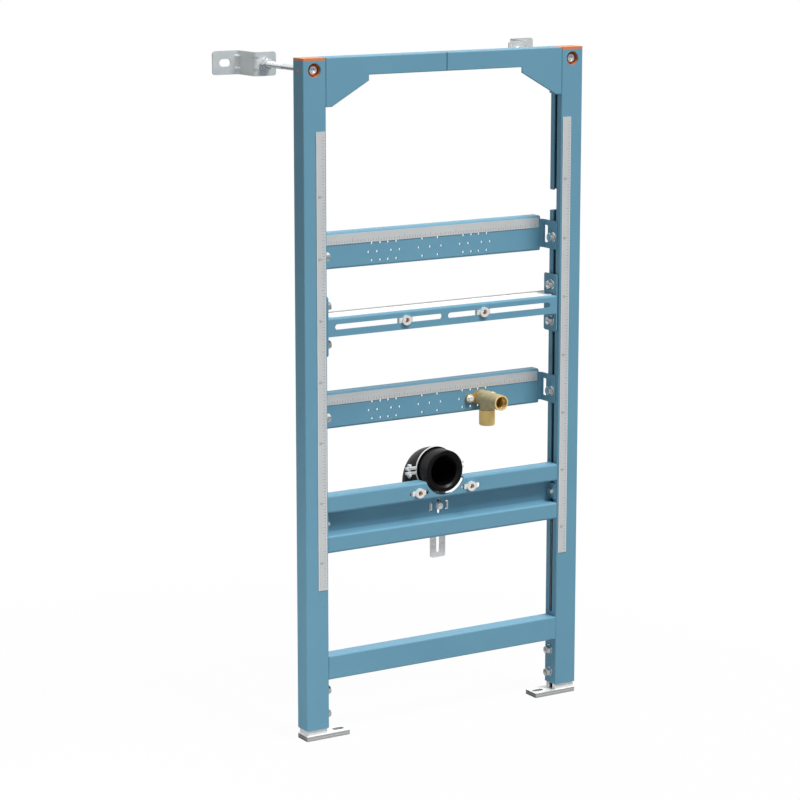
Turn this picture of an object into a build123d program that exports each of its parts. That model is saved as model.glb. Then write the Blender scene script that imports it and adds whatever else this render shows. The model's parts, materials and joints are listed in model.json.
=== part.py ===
"""Urinal installation frame: a floor-standing steel frame that is bolted to the floor and to the wall
behind it, and carries the fixing bolts, the water inlet and the waste of a wall-hung urinal.

Millimetres. X runs to the right, Y to the wall behind, Z up. The origin is on the floor, under the
middle of the left post.
"""
import math
import os

from build123d import *

# Overall sizes
frame_height = 1120
clear_width = 454
sheet = 2.5
bend_radius = 4
cut_overshoot = 1

# Posts: rolled box sections with a bolt slot in the inner face
post_width = 42
post_depth = 32
post_wall = 2
post_corner = 2
post_lift = 18
bolt_slot_width = 8
bolt_slot_bottom = 146
bolt_slot_top = 1066
nut_gate_bottom = 845
nut_gate_height = 35
nut_gate_width = 16
nut_gate_depth = 18

# Caps that close the posts and carry the wall rods
cap_head = 4
cap_length = 44
cap_clearance = 0.3
rod_drop = 19
rod_hole_diameter = 23
rod_seat_diameter = 21
rod_seat_depth = 10
clip_diameter = 7

# Wall rods and wall brackets
rod_diameter = 10
rod_clearance = 0.4
rod_head_diameter = 14
rod_head_length = 6
rod_socket = 6
rod_tail = 13
nut_across_flats = 17
nut_height = 8
washer_diameter = 20
washer_thickness = 2
bracket_sheet = 3
bracket_height = 39
bracket_seat_width = 40
bracket_web_depth = 55
bracket_wall_width = 47
bracket_corner = 5
bracket_bend = 6
bracket_reach = 159
bracket_rib_width = 7
bracket_rib_leg = 7
bracket_rib_notch = 8
bracket_rib_spacing = 20
wall_slot_length = 21
wall_slot_width = 12
wall_slot_edge = 22.5

# Top rail: two pressed halves, each with its corner gusset
top_rail_height = 30
gusset_height = 78
gusset_foot = 11
gusset_reach = 80
gusset_step = 9
top_rail_joint_gap = 0.8
top_rail_edge = 1.5

# Height scales on the posts
scale_thickness = 0.8
height_scale_width = 16
height_scale_length = 750
height_scale_bottom = 254
height_scale_edge = 3

# Fitting rails: perforated channels set back behind the posts
fitting_rail_bottoms = {"upper": 774, "lower": 510}
fitting_rail_height = 59.5
fitting_rail_flange = 20
fitting_rail_setback = 50
fitting_tab_front = 8
fitting_tab_height = 48
tab_window_height = 30
tab_window_depth = 11
tab_window_inset = 6
tab_window_corner = 2
pin_hole_diameter = 4
pin_row_pitch = 14.25
pin_row_bottom = 9
pin_group_pitch = 89
outer_edge_pins = (-23.5, -7.5, 7.5, 23.5)
outer_middle_pins = (-30, -13.5, 13.5, 30)
centre_edge_pins = (-15, 15)
centre_middle_pins = (-22, 0, 22)
rail_scale_height = 17
rail_scale_drop = 3
rail_scale_end_gap = 3

# Fixing bar: slotted bar that carries the urinal's two upper bolts
bar_bottom = 672
bar_height = 31
bar_sheet = 3
bar_flange = 34
bar_setback = 3
bar_slot_width = 9
bar_slot_gap = 11
bar_slot_end = 12.5
bar_scale_end_gap = 3
bar_scale_lip = 2.5
bar_scale_corner = 8
bar_bracket_thickness = 4
bar_bracket_height = 98
bar_bracket_bottom = 640
bar_bracket_depth = 37
bar_bracket_corner = 4
bar_bracket_bend = 3.5

# Threaded sleeves that slide in the slots of the fixing bar and the drain rail
sleeve_diameter = 16.5
sleeve_rim = 4
sleeve_bore = 8.5
sleeve_block_length = 26
sleeve_block_clearance = 0.25
sleeve_plate_height = 16
sleeve_plate_thickness = 4
fixing_sleeve_offset = 76
drain_sleeve_offset = 51

# Drain rail: stepped profile below the waste
drain_rail_bottom = 314
drain_rail_height = 97
drain_rail_upper_face = 30
drain_rail_lower_face = 29
drain_rail_recess = 20
drain_lip_clearance = 0.5
drain_rail_setback = 1
drain_slot_length = 37
drain_slot_width = 9
drain_slot_below_top = 17
drain_cutout_radius = 40
rail_tab_length = 17
rail_tab_clearance = 3
web_slot_width = 7
web_slot_height = 26
lug_slit_gap = 1.5

# Waste: rubber inlet, elbow, clamp and its slotted support
drain_height = 425
drain_inlet_setback = 2
drain_bore = 50
seal_lip_diameter = 71
seal_lip_length = 18
seal_edge = 2
seal_mouth = 3.5
seal_depth = 40
seal_groove = 1.5
seal_groove_width = 3
seal_first_groove = 16
seal_groove_pitch = 7
seal_groove_count = 3
elbow_diameter = 68
elbow_wall = 3
elbow_axis_setback = 72
elbow_bend_radius = 35
elbow_drop = 68
clamp_setback = 33
clamp_width = 6
clamp_band = 2.5
clamp_ear = 20
clamp_ear_gap = 4
clamp_ear_height = 4
clamp_foot_width = 16
support_width = 29
support_sheet = 3
support_bottom = 273
support_slot_width = 7
support_slot_length = 92
support_slot_edge = 8
support_corner = 4
support_lug_spacing = 31.6
support_lug_height = 12
support_lug_reach = 1.5

# Water inlet: brass wall-plate elbow on the lower fitting rail
inlet_offset = 101
inlet_above_rail = 23
inlet_front_diameter = 26
inlet_front_bore = 18.6
inlet_front_depth = 22
inlet_mouth_bore = 22
inlet_mouth_depth = 4
inlet_length = 65
inlet_neck_diameter = 25
inlet_barrel_diameter = 27
inlet_barrel_length = 26
inlet_barrel_bore = 18.6
inlet_barrel_depth = 18
inlet_barrel_setout = 21
inlet_barrel_drop = 44.5
inlet_body_radius = 14
inlet_edge = 1.4
inlet_waterway = 13
inlet_flange_thickness = 4
inlet_flange_height = 25
inlet_flange_shoulder = 10
inlet_ear_spacing = 46
inlet_ear_radius = 7.5
inlet_ear_hole = 5

# Bottom rail: box section between the posts
bottom_rail_bottom = 100
bottom_rail_height = 40
bottom_rail_depth = 29

# Feet: telescopic legs on slotted floor plates
foot_plate_length = 82
foot_plate_thickness = 8
foot_slot_length = 21
foot_slot_width = 11
foot_slot_edge = 14.5
foot_corner = 2
leg_clearance = 0.5
leg_wall = 2
leg_height = 310
leg_slot_width = 9

# Places worked out from the sizes above
post_bottom = post_lift
post_top = frame_height - cap_head
post_spacing = clear_width + post_width
middle = post_spacing / 2
front = -post_depth / 2
rear = post_depth / 2
rod_height = frame_height - rod_drop
left_inner = post_width / 2
rail_plate_front = front + fitting_rail_setback
rail_bend = bend_radius + sheet
drain_rail_front = front + drain_rail_setback
drain_rail_top = drain_rail_bottom + drain_rail_height
drain_web_back = drain_rail_front + drain_rail_recess + sheet
drain_rail_lip = drain_rail_recess + sheet - drain_lip_clearance
bar_front = front + bar_setback
seal_front = front + drain_inlet_setback
clamp_front = seal_front + clamp_setback - clamp_width / 2
sides = {"left": (0, 1), "right": (post_spacing, -1)}

os.makedirs("parts", exist_ok=True)


def save(builder, name):
    """Label a finished piece and write it to its own file."""
    builder.part.label = name
    export_step(builder.part, f"parts/{name}.step")


def inner_face(axis_x, inward):
    """Plane on a post's inner face: its x runs along Y (times the side), its y runs up."""
    face_x = axis_x + inward * post_width / 2
    return Plane(origin=(face_x, 0, 0), x_dir=(0, inward, 0), z_dir=(inward, 0, 0))


def front_plane(y):
    """Upright plane that faces the front at depth y: its x runs right, its y runs up."""
    return Plane(origin=(0, y, 0), x_dir=(1, 0, 0), z_dir=(0, -1, 0))


def build_post(name, axis_x, inward):
    """Box section with a bolt slot in its inner face and a gate at the back where slot nuts go in."""
    with BuildPart() as post:
        with BuildSketch(Plane.XY.offset(post_bottom)):
            with Locations((axis_x, 0)):
                RectangleRounded(post_width, post_depth, post_corner)
                Rectangle(post_width - 2 * post_wall, post_depth - 2 * post_wall, mode=Mode.SUBTRACT)
        extrude(amount=post_top - post_bottom)
        with BuildSketch(inner_face(axis_x, inward)):
            with Locations((0, (bolt_slot_bottom + bolt_slot_top) / 2)):
                SlotOverall(bolt_slot_top - bolt_slot_bottom, bolt_slot_width, rotation=90)
        extrude(amount=-post_wall, mode=Mode.SUBTRACT)
        with BuildSketch(Plane.XY.offset(nut_gate_bottom)):
            with Locations((axis_x + inward * post_width / 2, rear)):
                Rectangle(2 * nut_gate_width, 2 * nut_gate_depth)
        extrude(amount=nut_gate_height, mode=Mode.SUBTRACT)
        cut_length = 2 * (post_wall + cut_overshoot)
        with Locations(Location((axis_x, front, rod_height), (90, 0, 0))):
            Cylinder(rod_hole_diameter / 2, cut_length, mode=Mode.SUBTRACT)
        with Locations(Location((axis_x, rear, rod_height), (90, 0, 0))):
            Cylinder(rod_diameter / 2 + 2 * rod_clearance, cut_length, mode=Mode.SUBTRACT)
        with Locations(Location((axis_x - inward * post_width / 2, 0, rod_height), (0, 90, 0))):
            Cylinder(clip_diameter / 2 + cap_clearance, cut_length, mode=Mode.SUBTRACT)
    save(post, name)


def build_post_cap(name, axis_x, inward):
    """Moulded plug: a flat head on the post's end, a seat for the wall rod's head, and a side clip."""
    body_width = post_width - 2 * post_wall - 2 * cap_clearance
    body_depth = post_depth - 2 * post_wall - 2 * cap_clearance
    clip_length = post_wall + 2 * cap_clearance
    with BuildPart() as cap:
        with BuildSketch(Plane.XY.offset(post_top)):
            with Locations((axis_x, 0)):
                RectangleRounded(post_width, post_depth, post_corner)
        extrude(amount=cap_head)
        with BuildSketch(Plane.XY.offset(post_top - cap_length)):
            with Locations((axis_x, 0)):
                Rectangle(body_width, body_depth)
        extrude(amount=cap_length)
        clip_plane = Plane(
            origin=(axis_x - inward * post_width / 2, 0, rod_height), x_dir=(0, 1, 0), z_dir=(-inward, 0, 0)
        )
        with BuildSketch(clip_plane):
            Circle(clip_diameter / 2)
        extrude(amount=-clip_length)
        with BuildSketch(front_plane(front)):
            with Locations((axis_x, rod_height)):
                Circle(rod_seat_diameter / 2)
        extrude(amount=-rod_seat_depth, mode=Mode.SUBTRACT)
        with BuildSketch(front_plane(front)):
            with Locations((axis_x, rod_height)):
                Circle(rod_diameter / 2 + rod_clearance)
        extrude(amount=-post_depth, mode=Mode.SUBTRACT)
    save(cap, name)


def build_top_rail(name, axis_x, inward):
    """Pressed half of the top rail: a front sheet folded back all round, apart from the flat gusset."""
    edge = axis_x + inward * post_width / 2

    def along(distance):
        """X at a distance from the post's inner face."""
        return edge + inward * distance

    half = (clear_width - top_rail_joint_gap) / 2
    rail_bottom = frame_height - top_rail_height
    gusset_bottom = frame_height - gusset_height
    outline = [
        (along(0), frame_height),
        (along(half), frame_height),
        (along(half), rail_bottom),
        (along(gusset_reach), rail_bottom),
        (along(gusset_reach), rail_bottom - gusset_step),
        (along(gusset_foot), gusset_bottom),
        (along(0), gusset_bottom),
    ]
    with BuildPart() as rail:
        with BuildSketch(front_plane(front)) as pressing:
            with BuildLine():
                Polyline(*outline, close=True)
            make_face()
        extrude(amount=-post_depth)
        with BuildSketch(front_plane(front + sheet)):
            add(pressing.sketch_local)
            offset(amount=-sheet, kind=Kind.INTERSECTION, mode=Mode.REPLACE)
        extrude(amount=-post_depth, mode=Mode.SUBTRACT)
        with BuildSketch(front_plane(front + sheet)):
            with BuildLine():
                Polyline(
                    (along(sheet), rail_bottom),
                    (along(gusset_reach + cut_overshoot), rail_bottom),
                    (along(gusset_reach + cut_overshoot), gusset_bottom - cut_overshoot),
                    (along(sheet), gusset_bottom - cut_overshoot),
                    close=True,
                )
            make_face()
        extrude(amount=-post_depth, mode=Mode.SUBTRACT)
        fillet(rail.faces().sort_by(Axis.Y)[0].edges(), top_rail_edge)
    save(rail, name)


def build_height_scale(name, axis_x, inward):
    """Flat graduated strip on the post's front face, close to the inner edge."""
    strip_x = axis_x + inward * (post_width / 2 - height_scale_edge - height_scale_width / 2)
    with BuildPart() as scale:
        with BuildSketch(front_plane(front)):
            with Locations((strip_x, height_scale_bottom + height_scale_length / 2)):
                Rectangle(height_scale_width, height_scale_length)
        extrude(amount=scale_thickness)
    save(scale, name)


def pin_places():
    """Places of the pin holes on a fitting rail, from the rail's middle and its bottom edge."""
    groups = {
        -pin_group_pitch: (outer_edge_pins, outer_middle_pins),
        0: (centre_edge_pins, centre_middle_pins),
        pin_group_pitch: (outer_edge_pins, outer_middle_pins),
    }
    places = []
    for group_x, (edge_row, middle_row) in groups.items():
        for row_index, row in enumerate((edge_row, middle_row, edge_row)):
            height = pin_row_bottom + row_index * pin_row_pitch
            places += [(group_x + x, height) for x in row]
    return places


def build_fitting_rail(name, bottom):
    """Perforated channel behind the posts, with end tabs bent forward onto the posts' inner faces."""
    tab_middle = bottom + fitting_rail_height / 2
    top = bottom + fitting_rail_height
    with BuildPart() as rail:
        with BuildSketch(Plane(origin=(left_inner + rail_bend, 0, 0), x_dir=(0, 1, 0), z_dir=(1, 0, 0))):
            with BuildLine():
                FilletPolyline(
                    (rail_plate_front + fitting_rail_flange, bottom),
                    (rail_plate_front, bottom),
                    (rail_plate_front, top),
                    (rail_plate_front + fitting_rail_flange, top),
                    radius=bend_radius,
                )
                offset(amount=sheet, side=Side.RIGHT)
            make_face()
        extrude(amount=clear_width - 2 * rail_bend)
        for axis_x, inward in sides.values():
            face_x = axis_x + inward * post_width / 2
            with BuildSketch(Plane.XY.offset(tab_middle - fitting_tab_height / 2)):
                with BuildLine():
                    FilletPolyline(
                        (face_x + inward * (rail_bend + sheet), rail_plate_front),
                        (face_x + inward * sheet, rail_plate_front),
                        (face_x + inward * sheet, -fitting_tab_front),
                        radius=bend_radius,
                    )
                    offset(amount=sheet, side=Side.RIGHT if inward > 0 else Side.LEFT)
                make_face()
            extrude(amount=fitting_tab_height)
            window_middle = rail_plate_front - tab_window_inset - tab_window_depth / 2
            with BuildSketch(inner_face(axis_x, inward)):
                with Locations((inward * window_middle, tab_middle)):
                    RectangleRounded(tab_window_depth, tab_window_height, tab_window_corner)
            extrude(amount=sheet, mode=Mode.SUBTRACT)
        with BuildSketch(front_plane(rail_plate_front)):
            with Locations(*[(middle + x, bottom + z) for x, z in pin_places()]):
                Circle(pin_hole_diameter / 2)
        extrude(amount=-sheet, mode=Mode.SUBTRACT)
    save(rail, name)


def build_rail_scale(name, bottom):
    """Graduated strip along the top of a fitting rail's face."""
    strip_middle = bottom + fitting_rail_height - rail_scale_drop - rail_scale_height / 2
    strip_length = clear_width - 2 * rail_bend - 2 * rail_scale_end_gap
    with BuildPart() as scale:
        with BuildSketch(front_plane(rail_plate_front)):
            with Locations((middle, strip_middle)):
                Rectangle(strip_length, rail_scale_height)
        extrude(amount=scale_thickness)
    save(scale, name)


def build_sleeve(name, x, height, face, sheet_thickness, slot_width):
    """Threaded sleeve: a round rim in front, a guide block in the slot and a nut plate behind."""
    with BuildPart() as sleeve:
        with BuildSketch(front_plane(face)):
            with Locations((x, height)):
                Circle(sleeve_diameter / 2)
        extrude(amount=sleeve_rim)
        with BuildSketch(front_plane(face)):
            with Locations((x, height)):
                Rectangle(sleeve_block_length, slot_width - 2 * sleeve_block_clearance)
        extrude(amount=-sheet_thickness)
        with BuildSketch(front_plane(face + sheet_thickness)):
            with Locations((x, height)):
                Rectangle(sleeve_block_length, sleeve_plate_height)
        extrude(amount=-sleeve_plate_thickness)
        with BuildSketch(front_plane(face - sleeve_rim)):
            with Locations((x, height)):
                Circle(sleeve_bore / 2)
        extrude(amount=-(sleeve_rim + sheet_thickness + sleeve_plate_thickness), mode=Mode.SUBTRACT)
    save(sleeve, name)


def build_wall_rod(name, axis_x):
    """Adjusting rod from the post to the wall bracket, with its socket head and its clamping nuts."""
    seat_front = front + bracket_reach
    head_back = front + rod_seat_depth
    rod_back = seat_front + bracket_sheet + rod_tail
    with BuildPart() as rod:
        with BuildSketch(front_plane(head_back)):
            with Locations((axis_x, rod_height)):
                Circle(rod_head_diameter / 2)
        extrude(amount=rod_head_length)
        with BuildSketch(front_plane(rod_back)):
            with Locations((axis_x, rod_height)):
                Circle(rod_diameter / 2)
        extrude(amount=rod_back - head_back)
        with BuildSketch(front_plane(seat_front)):
            with Locations((axis_x, rod_height)):
                Circle(washer_diameter / 2)
        extrude(amount=washer_thickness)
        with BuildSketch(front_plane(seat_front - washer_thickness)):
            with Locations((axis_x, rod_height)):
                RegularPolygon(nut_across_flats / 2, 6, major_radius=False)
        extrude(amount=nut_height)
        with BuildSketch(front_plane(seat_front + bracket_sheet + nut_height)):
            with Locations((axis_x, rod_height)):
                RegularPolygon(nut_across_flats / 2, 6, major_radius=False)
        extrude(amount=nut_height)
        with BuildSketch(front_plane(head_back - rod_head_length)):
            with Locations((axis_x, rod_height)):
                RegularPolygon(rod_socket / 2, 6, major_radius=False)
        extrude(amount=-rod_head_length, mode=Mode.SUBTRACT)
    save(rod, name)


def bend_rib(corner_x, corner_y, height, side_x, side_y):
    """Pressed rib inside a bend: a triangle between the two sheets, rounded over its width."""
    with BuildPart(mode=Mode.PRIVATE) as rib:
        with BuildSketch(Plane.XY.offset(height - bracket_rib_width / 2)):
            with BuildLine():
                Polyline(
                    (corner_x, corner_y),
                    (corner_x + side_x * bracket_rib_leg, corner_y),
                    (corner_x, corner_y + side_y * bracket_rib_leg),
                    close=True,
                )
            make_face()
        extrude(amount=bracket_rib_width)
        ridge = bracket_rib_leg / 2 - bracket_rib_width / 2 / math.sqrt(2)
        axis_point = (corner_x + side_x * ridge, corner_y + side_y * ridge, height)
        with BuildSketch(Plane(origin=axis_point, z_dir=(side_x, -side_y, 0))):
            Circle(bracket_rib_width / 2)
        extrude(amount=bracket_rib_leg, both=True, mode=Mode.INTERSECT)
    return rib.part


def build_wall_bracket(name, axis_x, inward):
    """Z-bent steel plate: a seat on the rod, a web and a slotted wall plate, with ribs in both bends."""
    seat_front = front + bracket_reach
    wall_plate_front = seat_front + bracket_web_depth
    web_x = axis_x - inward * bracket_seat_width / 2
    wall_end = web_x - inward * bracket_wall_width
    bottom = rod_height - bracket_height / 2
    with BuildPart() as bracket:
        with BuildSketch(Plane.XY.offset(bottom)):
            with BuildLine():
                FilletPolyline(
                    (axis_x + inward * bracket_seat_width / 2, seat_front),
                    (web_x, seat_front),
                    (web_x, wall_plate_front),
                    (wall_end, wall_plate_front),
                    radius=bracket_bend,
                )
                offset(amount=bracket_sheet, side=Side.LEFT if inward < 0 else Side.RIGHT)
            make_face()
        extrude(amount=bracket_height)
        free_ends = bracket.edges().filter_by(Axis.Y).group_by(Axis.X)
        fillet(free_ends[0] + free_ends[-1], bracket_corner)
        cut_length = 2 * (bracket_sheet + cut_overshoot)
        with Locations(Location((axis_x, seat_front, rod_height), (90, 0, 0))):
            Cylinder(rod_diameter / 2 + rod_clearance, cut_length, mode=Mode.SUBTRACT)
        slot_x = wall_end + inward * wall_slot_edge
        with BuildSketch(front_plane(wall_plate_front)):
            with Locations((slot_x, rod_height)):
                SlotOverall(wall_slot_length, wall_slot_width)
        extrude(amount=bracket_sheet + cut_overshoot, both=True, mode=Mode.SUBTRACT)
        bends = {
            1: (web_x, seat_front),
            -1: (web_x + inward * bracket_sheet, wall_plate_front + bracket_sheet),
        }
        for side, (outer_x, outer_y) in bends.items():
            inner_x = outer_x + side * inward * bracket_sheet
            inner_y = outer_y + side * bracket_sheet
            for step in (-1, 1):
                rib_height = rod_height + step * bracket_rib_spacing / 2
                add(bend_rib(inner_x, inner_y, rib_height, side * inward, side))
                notch_width = bracket_rib_width - bracket_sheet
                with BuildSketch(Plane.XY.offset(rib_height - notch_width / 2)):
                    with BuildLine():
                        Polyline(
                            (outer_x, outer_y),
                            (outer_x + side * inward * bracket_rib_notch, outer_y),
                            (outer_x, outer_y + side * bracket_rib_notch),
                            close=True,
                        )
                    make_face()
                extrude(amount=notch_width, mode=Mode.SUBTRACT)
    save(bracket, name)


def build_foot(name, axis_x, inward):
    """Telescopic leg, a slotted box section, on a floor plate with a bolt slot towards the middle."""
    leg_width = post_width - 2 * post_wall - 2 * leg_clearance
    leg_depth = post_depth - 2 * post_wall - 2 * leg_clearance
    plate_outer = axis_x - inward * post_width / 2
    with BuildPart() as foot:
        with BuildSketch():
            with Locations((plate_outer + inward * foot_plate_length / 2, 0)):
                RectangleRounded(foot_plate_length, post_depth, foot_corner)
            with Locations((plate_outer + inward * (foot_plate_length - foot_slot_edge), 0)):
                SlotOverall(foot_slot_length, foot_slot_width, mode=Mode.SUBTRACT)
        extrude(amount=foot_plate_thickness)
        with BuildSketch(Plane.XY.offset(foot_plate_thickness)):
            with Locations((axis_x, 0)):
                Rectangle(leg_width, leg_depth)
                Rectangle(leg_width - 2 * leg_wall, leg_depth - 2 * leg_wall, mode=Mode.SUBTRACT)
            with Locations((axis_x + inward * leg_width / 2, 0)):
                Rectangle(2 * (leg_wall + cut_overshoot), leg_slot_width, mode=Mode.SUBTRACT)
        extrude(amount=leg_height)
    save(foot, name)


def build_bar_bracket(name, axis_x, inward):
    """End plate of the fixing bar, bolted to the slot in the post's inner face, bent at its front edge."""
    plate_middle = bar_front + bar_bracket_depth / 2
    with BuildPart() as bracket:
        with BuildSketch(inner_face(axis_x, inward)):
            with Locations((inward * plate_middle, bar_bracket_bottom + bar_bracket_height / 2)):
                RectangleRounded(bar_bracket_depth, bar_bracket_height, bar_bracket_corner)
        extrude(amount=bar_bracket_thickness)
        front_edges = bracket.edges().filter_by(Axis.Z).group_by(Axis.Y)[0]
        fillet(front_edges.sort_by(Axis.X)[0 if inward > 0 else -1], bar_bracket_bend)
    save(bracket, name)


# Pieces that come in a left and a right hand
for side, (axis_x, inward) in sides.items():
    build_post(f"{side}_post", axis_x, inward)
    build_post_cap(f"{side}_post_cap", axis_x, inward)
    build_top_rail(f"{side}_top_rail", axis_x, inward)
    build_height_scale(f"{side}_height_scale", axis_x, inward)
    build_bar_bracket(f"{side}_bar_bracket", axis_x, inward)
    build_wall_rod(f"{side}_wall_rod", axis_x)
    build_wall_bracket(f"{side}_wall_bracket", axis_x, inward)
    build_foot(f"{side}_foot", axis_x, inward)

# Fitting rails with their graduated strips
for level, bottom in fitting_rail_bottoms.items():
    build_fitting_rail(f"{level}_fitting_rail", bottom)
    build_rail_scale(f"{level}_rail_scale", bottom)

# Fixing bar: an angle with two long slots in its face
bar_top = bar_bottom + bar_height
bar_start = left_inner + bar_bracket_thickness
bar_length = clear_width - 2 * bar_bracket_thickness
bar_slot_length = bar_length / 2 - bar_slot_end - bar_slot_gap / 2
bar_slot_offset = bar_slot_gap / 2 + bar_slot_length / 2
bar_slot_height = bar_bottom + bar_height / 2
with BuildPart() as fixing_bar:
    with BuildSketch(Plane(origin=(bar_start, 0, 0), x_dir=(0, 1, 0), z_dir=(1, 0, 0))):
        with BuildLine():
            FilletPolyline(
                (bar_front, bar_bottom),
                (bar_front, bar_top),
                (bar_front + bar_flange, bar_top),
                radius=bend_radius,
            )
            offset(amount=bar_sheet, side=Side.RIGHT)
        make_face()
    extrude(amount=bar_length)
    with BuildSketch(front_plane(bar_front)):
        for step in (-1, 1):
            with Locations((middle + step * bar_slot_offset, bar_slot_height)):
                SlotOverall(bar_slot_length, bar_slot_width)
    extrude(amount=-bar_sheet, mode=Mode.SUBTRACT)
save(fixing_bar, "fixing_bar")

# Pale strip on the fixing bar's top flange: round front corners, and a rear edge that is bent up
strip_front = bar_front + bend_radius
strip_rear = bar_front + bar_flange
strip_length = bar_length - 2 * bar_scale_end_gap
with BuildPart() as fixing_bar_scale:
    with BuildSketch(Plane.XY.offset(bar_top)) as strip:
        with Locations((middle, (strip_front + strip_rear) / 2)):
            Rectangle(strip_length, strip_rear - strip_front)
        fillet(strip.vertices().group_by(Axis.Y)[0], bar_scale_corner)
    extrude(amount=scale_thickness)
    with BuildSketch(Plane.XY.offset(bar_top)):
        with Locations((middle, strip_rear - scale_thickness / 2)):
            Rectangle(strip_length, scale_thickness)
    extrude(amount=bar_scale_lip)
save(fixing_bar_scale, "fixing_bar_scale")

# Threaded sleeves for the urinal's upper and lower bolts
drain_slot_height = drain_rail_top - drain_slot_below_top
for side, step in (("left", -1), ("right", 1)):
    build_sleeve(
        f"{side}_fixing_sleeve",
        middle + step * fixing_sleeve_offset,
        bar_slot_height,
        bar_front,
        bar_sheet,
        bar_slot_width,
    )
    build_sleeve(
        f"{side}_drain_sleeve",
        middle + step * drain_sleeve_offset,
        drain_slot_height,
        drain_rail_front,
        sheet,
        drain_slot_width,
    )

# Drain rail: a stepped profile with a round cut-out for the waste. Its web has two slits for the lugs of
# the pipe support and a slot for the bolt between them
drain_web_front = drain_rail_front + drain_rail_recess
drain_recess_top = drain_rail_top - drain_rail_upper_face
drain_recess_bottom = drain_rail_bottom + drain_rail_lower_face
web_middle = (drain_recess_top + drain_recess_bottom) / 2
with BuildPart() as drain_rail:
    with BuildSketch(Plane(origin=(left_inner, 0, 0), x_dir=(0, 1, 0), z_dir=(1, 0, 0))):
        with BuildLine():
            FilletPolyline(
                (drain_rail_front + drain_rail_lip, drain_rail_bottom),
                (drain_rail_front, drain_rail_bottom),
                (drain_rail_front, drain_recess_bottom),
                (drain_web_front, drain_recess_bottom),
                (drain_web_front, drain_recess_top),
                (drain_rail_front, drain_recess_top),
                (drain_rail_front, drain_rail_top),
                (drain_rail_front + drain_rail_lip, drain_rail_top),
                radius=bend_radius,
            )
            offset(amount=sheet, side=Side.RIGHT)
        make_face()
    extrude(amount=clear_width)
    tab_height = drain_recess_top - drain_recess_bottom - 2 * sheet - 2 * rail_tab_clearance
    for axis_x, inward in sides.values():
        with BuildSketch(inner_face(axis_x, inward)):
            with Locations((inward * (drain_web_front - rail_tab_length / 2), web_middle)):
                Rectangle(rail_tab_length, tab_height)
        extrude(amount=sheet)
    with BuildSketch(front_plane(drain_rail_front)):
        for step in (-1, 1):
            with Locations((middle + step * drain_sleeve_offset, drain_slot_height)):
                SlotOverall(drain_slot_length, drain_slot_width)
        with Locations((middle, drain_height)):
            Circle(drain_cutout_radius)
    extrude(amount=-drain_rail_lip, mode=Mode.SUBTRACT)
    with BuildSketch(front_plane(drain_web_front)):
        with Locations((middle, web_middle)):
            SlotOverall(web_slot_height, web_slot_width, rotation=90)
            with GridLocations(support_lug_spacing, 0, 2, 1):
                Rectangle(support_sheet + 2 * lug_slit_gap, support_lug_height + 2 * lug_slit_gap)
    extrude(amount=-sheet, mode=Mode.SUBTRACT)
save(drain_rail, "drain_rail")

# Waste elbow: a pipe that comes in level and turns down behind the drain rail
elbow_front = seal_front + seal_lip_length
elbow_axis = seal_front + elbow_axis_setback
elbow_radius = elbow_diameter / 2
elbow_inner_radius = elbow_radius - elbow_wall
with BuildPart() as drain_elbow:
    with BuildLine(Plane.YZ.offset(middle)) as elbow_path:
        FilletPolyline(
            (elbow_front, drain_height),
            (elbow_axis, drain_height),
            (elbow_axis, drain_height - elbow_drop),
            radius=elbow_bend_radius,
        )
    with BuildSketch(front_plane(elbow_front)):
        with Locations((middle, drain_height)):
            Circle(elbow_radius)
            Circle(elbow_inner_radius, mode=Mode.SUBTRACT)
    sweep(path=elbow_path.wires()[0])
save(drain_elbow, "drain_elbow")

# Rubber inlet seal: a thick lip with a flared mouth, and a grooved sleeve inside the elbow
with BuildPart() as drain_seal:
    with BuildSketch(Plane(origin=(middle, seal_front, drain_height), x_dir=(0, 1, 0), z_dir=(1, 0, 0))):
        with BuildLine():
            Polyline(
                (0, drain_bore / 2 + seal_mouth),
                (0, seal_lip_diameter / 2),
                (seal_lip_length, seal_lip_diameter / 2),
                (seal_lip_length, elbow_inner_radius),
                (seal_depth, elbow_inner_radius),
                (seal_depth, drain_bore / 2),
                (seal_mouth, drain_bore / 2),
                close=True,
            )
        make_face()
        for index in range(seal_groove_count):
            groove_place = seal_first_groove + index * seal_groove_pitch
            with Locations((groove_place, drain_bore / 2)):
                Rectangle(seal_groove_width, 2 * seal_groove, mode=Mode.SUBTRACT)
    revolve(axis=Axis((middle, 0, drain_height), (0, 1, 0)))
    lip_edges = drain_seal.edges().filter_by(GeomType.CIRCLE).group_by(Axis.Y)[0]
    fillet(lip_edges.sort_by(SortBy.RADIUS)[-1], seal_edge)
save(drain_seal, "drain_seal")

# Pipe clamp: a steel band with two pairs of ears, and a foot on the support
clamp_radius = elbow_radius + clamp_band
support_arm_top = drain_height - clamp_radius
with BuildPart() as pipe_clamp:
    with BuildSketch(front_plane(clamp_front)):
        with Locations((middle, drain_height)):
            Circle(clamp_radius)
            Rectangle(2 * (clamp_radius + clamp_ear), clamp_ear_gap + 2 * clamp_ear_height)
            Rectangle(2 * (clamp_radius + clamp_ear), clamp_ear_gap, mode=Mode.SUBTRACT)
            Circle(clamp_radius)
        with Locations((middle, drain_height - clamp_radius / 2)):
            Rectangle(clamp_foot_width, clamp_radius)
        with Locations((middle, drain_height)):
            Circle(elbow_radius, mode=Mode.SUBTRACT)
    extrude(amount=-clamp_width)
save(pipe_clamp, "pipe_clamp")

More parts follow.
